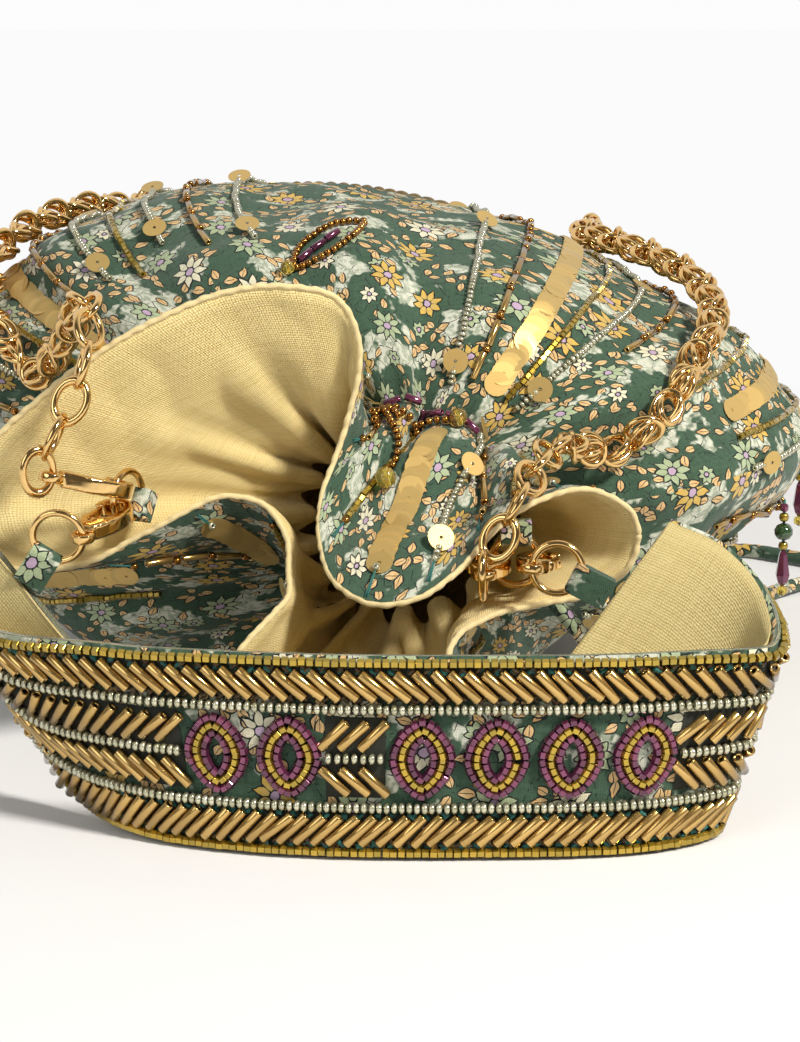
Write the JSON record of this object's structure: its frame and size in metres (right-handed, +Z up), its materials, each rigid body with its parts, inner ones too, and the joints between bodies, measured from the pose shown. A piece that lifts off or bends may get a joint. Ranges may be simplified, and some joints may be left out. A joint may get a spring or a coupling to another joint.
{
  "type": "potli bag",
  "caption": "Small drawstring evening pouch with gathered neck, open ruffle, bead strands, bead-covered handle strap and clip-on shoulder chain, lying on its side.",
  "frame": {"origin": "on the floor under the middle of the bag's bounding box, its drawcords apart", "axes": "-Y out of the mouth towards the viewer, +X to the bag's right in the view, +Z up from the floor it lies on"},
  "size_m": [0.232, 0.2524, 0.1105],
  "materials": {
    "print_cloth": "matte printed cotton",
    "linen": "matte woven",
    "piping": "dull metallic twisted thread",
    "gold_bead": "metallic gloss",
    "bronze_bead": "metallic gloss",
    "clear_bead": "silver-lined gloss",
    "purple_bead": "gloss",
    "gold_metal": "polished plating"
  },
  "bodies": {
    "bag": {"outer_shell": "print_cloth", "lining": "linen", "base_panel": "print_cloth", "base_piping": "piping", "body_sequin_strand_1": "gold_bead", "body_gold_strand_1": "gold_bead", "body_bugle_strand_1": "bronze_bead", "body_clear_strand_1": "clear_bead", "body_gold_strand_2": "gold_bead", "body_sequin_strand_2": "gold_bead", "body_bugle_strand_2": "bronze_bead", "body_clear_strand_2": "clear_bead", "body_bugle_strand_3": "bronze_bead", "body_gold_strand_3": "gold_bead", "body_clear_strand_3": "clear_bead", "ruffle_bugle_strand_1": "bronze_bead", "ruffle_clear_strand_1": "clear_bead", "ruffle_sequin_strand_1": "gold_bead", "ruffle_sequin_strand_2": "gold_bead", "strap_ground": "print_cloth", "strap_lining": "linen", "upper_edge_bead_row": "gold_bead", "lower_edge_bead_row": "gold_bead", "upper_bugle_row": "bronze_bead", "lower_bugle_row": "bronze_bead", "upper_clear_bead_row": "clear_bead", "lower_clear_bead_row": "clear_bead", "bead_figure_1": "purple_bead", "bead_figure_2": "purple_bead", "bead_figure_3": "purple_bead", "bead_figure_4": "purple_bead", "bead_figure_5": "purple_bead", "bead_figure_6": "purple_bead", "centre_bugles_left": "bronze_bead", "centre_bugles_middle": "bronze_bead", "centre_bugles_right": "bronze_bead", "strap_ring_left": "gold_metal", "strap_tab_left": "print_cloth", "strap_ring_right": "gold_metal", "strap_tab_right": "print_cloth", "claw_left_strap": "gold_metal", "claw_left_chain": "gold_metal", "bag_ring_left": "gold_metal", "bag_tab_left": "print_cloth", "claw_right_strap": "gold_metal", "claw_right_chain": "gold_metal", "bag_ring_right": "gold_metal", "bag_tab_right": "print_cloth", "neck_bead_branch": "bronze_bead", "bead_drop_1": "purple_bead", "bead_drop_2": "purple_bead", "drawcord_long": "print_cloth", "drawcord_short": "print_cloth", "drawcord_knot": "print_cloth", "shoulder_chain": "gold_metal"},
    "gate_left_strap": {"claw_gate_left_strap": "gold_metal"},
    "gate_left_chain": {"claw_gate_left_chain": "gold_metal"},
    "gate_right_strap": {"claw_gate_right_strap": "gold_metal"},
    "gate_right_chain": {"claw_gate_right_chain": "gold_metal"}
  },
  "joints": [
    {"name": "gate_swing_left_strap", "type": "hinge", "parent": "bag", "child": "gate_left_strap", "pos_m": [-0.05395, -0.07024, 0.0544], "axis": [0.0605, 0.1591, -0.9854], "range_deg": [0, 20], "stiffness_Nm_per_rad": 0.002},
    {"name": "gate_swing_left_chain", "type": "hinge", "parent": "bag", "child": "gate_left_chain", "pos_m": [-0.05666, -0.06545, 0.06237], "axis": [-0.2162, -0.1276, -0.968], "range_deg": [0, 20], "stiffness_Nm_per_rad": 0.002},
    {"name": "gate_swing_right_strap", "type": "hinge", "parent": "bag", "child": "gate_right_strap", "pos_m": [0.03495, -0.06914, 0.04623], "axis": [0.0192, 0.1093, 0.9938], "range_deg": [0, 20], "stiffness_Nm_per_rad": 0.002},
    {"name": "gate_swing_right_chain", "type": "hinge", "parent": "bag", "child": "gate_right_chain", "pos_m": [0.02041, -0.06845, 0.0455], "axis": [-0.0025, -0.0201, -0.9998], "range_deg": [0, 20], "stiffness_Nm_per_rad": 0.002}
  ]
}
